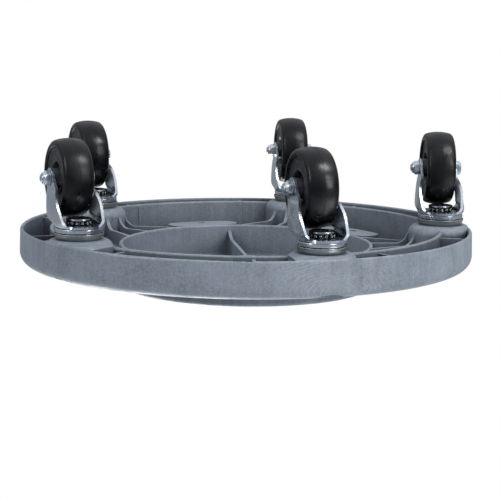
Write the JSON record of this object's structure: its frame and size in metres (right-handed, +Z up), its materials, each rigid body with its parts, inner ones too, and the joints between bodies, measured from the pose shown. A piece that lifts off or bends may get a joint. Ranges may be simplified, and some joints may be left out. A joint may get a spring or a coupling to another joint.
{
  "type": "drum dolly",
  "caption": "Round moulded dolly deck with a ribbed underside, carried on swivel casters, for moving a drum or bin.",
  "frame": {"origin": "on the floor, on the deck's axis", "axes": "+Z up; the seat faces +Z, caster 3 stands on the -Y side, and the deck's bosses and rim are mirror symmetric about the YZ plane"},
  "size_m": [0.4761, 0.5008, 0.157],
  "materials": {
    "deck_plastic": "grey structural foam with pale swirl marks",
    "zinc_steel": "bright zinc plating",
    "race_steel": "dull olive passivated zinc",
    "ball_steel": "polished and greased",
    "bush_steel": "plain, oiled",
    "wheel_plastic": "satin black",
    "tyre_rubber": "semi-gloss black"
  },
  "bodies": {
    "deck": {"deck": "deck_plastic", "stem_nuts": "zinc_steel", "stem_washers": "zinc_steel", "stem_1": "zinc_steel", "top_race_1": "race_steel", "stem_2": "zinc_steel", "top_race_2": "race_steel", "stem_3": "zinc_steel", "top_race_3": "race_steel", "stem_4": "zinc_steel", "top_race_4": "race_steel", "stem_5": "zinc_steel", "top_race_5": "race_steel"},
    "swivel_1": {"race_balls_1": "ball_steel", "bottom_race_1": "zinc_steel", "fork_1": "zinc_steel", "axle_bolt_1": "zinc_steel", "axle_nut_1": "zinc_steel", "axle_sleeve_1": "zinc_steel"},
    "wheel_1": {"wheel_core_1": "wheel_plastic", "tyre_1": "tyre_rubber", "hub_bush_1": "bush_steel"},
    "swivel_2": {"race_balls_2": "ball_steel", "bottom_race_2": "zinc_steel", "fork_2": "zinc_steel", "axle_bolt_2": "zinc_steel", "axle_nut_2": "zinc_steel", "axle_sleeve_2": "zinc_steel"},
    "wheel_2": {"wheel_core_2": "wheel_plastic", "tyre_2": "tyre_rubber", "hub_bush_2": "bush_steel"},
    "swivel_3": {"race_balls_3": "ball_steel", "bottom_race_3": "zinc_steel", "fork_3": "zinc_steel", "axle_bolt_3": "zinc_steel", "axle_nut_3": "zinc_steel", "axle_sleeve_3": "zinc_steel"},
    "wheel_3": {"wheel_core_3": "wheel_plastic", "tyre_3": "tyre_rubber", "hub_bush_3": "bush_steel"},
    "swivel_4": {"race_balls_4": "ball_steel", "bottom_race_4": "zinc_steel", "fork_4": "zinc_steel", "axle_bolt_4": "zinc_steel", "axle_nut_4": "zinc_steel", "axle_sleeve_4": "zinc_steel"},
    "wheel_4": {"wheel_core_4": "wheel_plastic", "tyre_4": "tyre_rubber", "hub_bush_4": "bush_steel"},
    "swivel_5": {"race_balls_5": "ball_steel", "bottom_race_5": "zinc_steel", "fork_5": "zinc_steel", "axle_bolt_5": "zinc_steel", "axle_nut_5": "zinc_steel", "axle_sleeve_5": "zinc_steel"},
    "wheel_5": {"wheel_core_5": "wheel_plastic", "tyre_5": "tyre_rubber", "hub_bush_5": "bush_steel"}
  },
  "joints": [
    {"name": "swivel_1_turn", "type": "hinge", "parent": "deck", "child": "swivel_1", "pos_m": [0.11873, 0.16342, 0.084], "axis": [0, 0, 1], "continuous": true},
    {"name": "wheel_1_roll", "type": "hinge", "parent": "swivel_1", "child": "wheel_1", "pos_m": [0.10158, 0.1376, 0.0381], "axis": [0.8329, -0.5534, 0], "continuous": true},
    {"name": "swivel_2_turn", "type": "hinge", "parent": "deck", "child": "swivel_2", "pos_m": [0.19211, -0.06242, 0.084], "axis": [0, 0, 1], "continuous": true},
    {"name": "wheel_2_roll", "type": "hinge", "parent": "swivel_2", "child": "wheel_2", "pos_m": [0.18295, -0.09204, 0.0381], "axis": [0.9553, -0.2957, 0], "continuous": true},
    {"name": "swivel_3_turn", "type": "hinge", "parent": "deck", "child": "swivel_3", "pos_m": [0, -0.202, 0.084], "axis": [0, 0, 1], "continuous": true},
    {"name": "wheel_3_roll", "type": "hinge", "parent": "swivel_3", "child": "wheel_3", "pos_m": [-0.01271, -0.23028, 0.0381], "axis": [0.9121, -0.4099, 0], "continuous": true},
    {"name": "swivel_4_turn", "type": "hinge", "parent": "deck", "child": "swivel_4", "pos_m": [-0.19211, -0.06242, 0.084], "axis": [0, 0, 1], "continuous": true},
    {"name": "wheel_4_roll", "type": "hinge", "parent": "swivel_4", "child": "wheel_4", "pos_m": [-0.2112, -0.08685, 0.0381], "axis": [0.788, -0.6157, 0], "continuous": true},
    {"name": "swivel_5_turn", "type": "hinge", "parent": "deck", "child": "swivel_5", "pos_m": [-0.11873, 0.16342, 0.084], "axis": [0, 0, 1], "continuous": true},
    {"name": "wheel_5_roll", "type": "hinge", "parent": "swivel_5", "child": "wheel_5", "pos_m": [-0.13878, 0.13978, 0.0381], "axis": [0.7627, -0.6468, 0], "continuous": true}
  ]
}
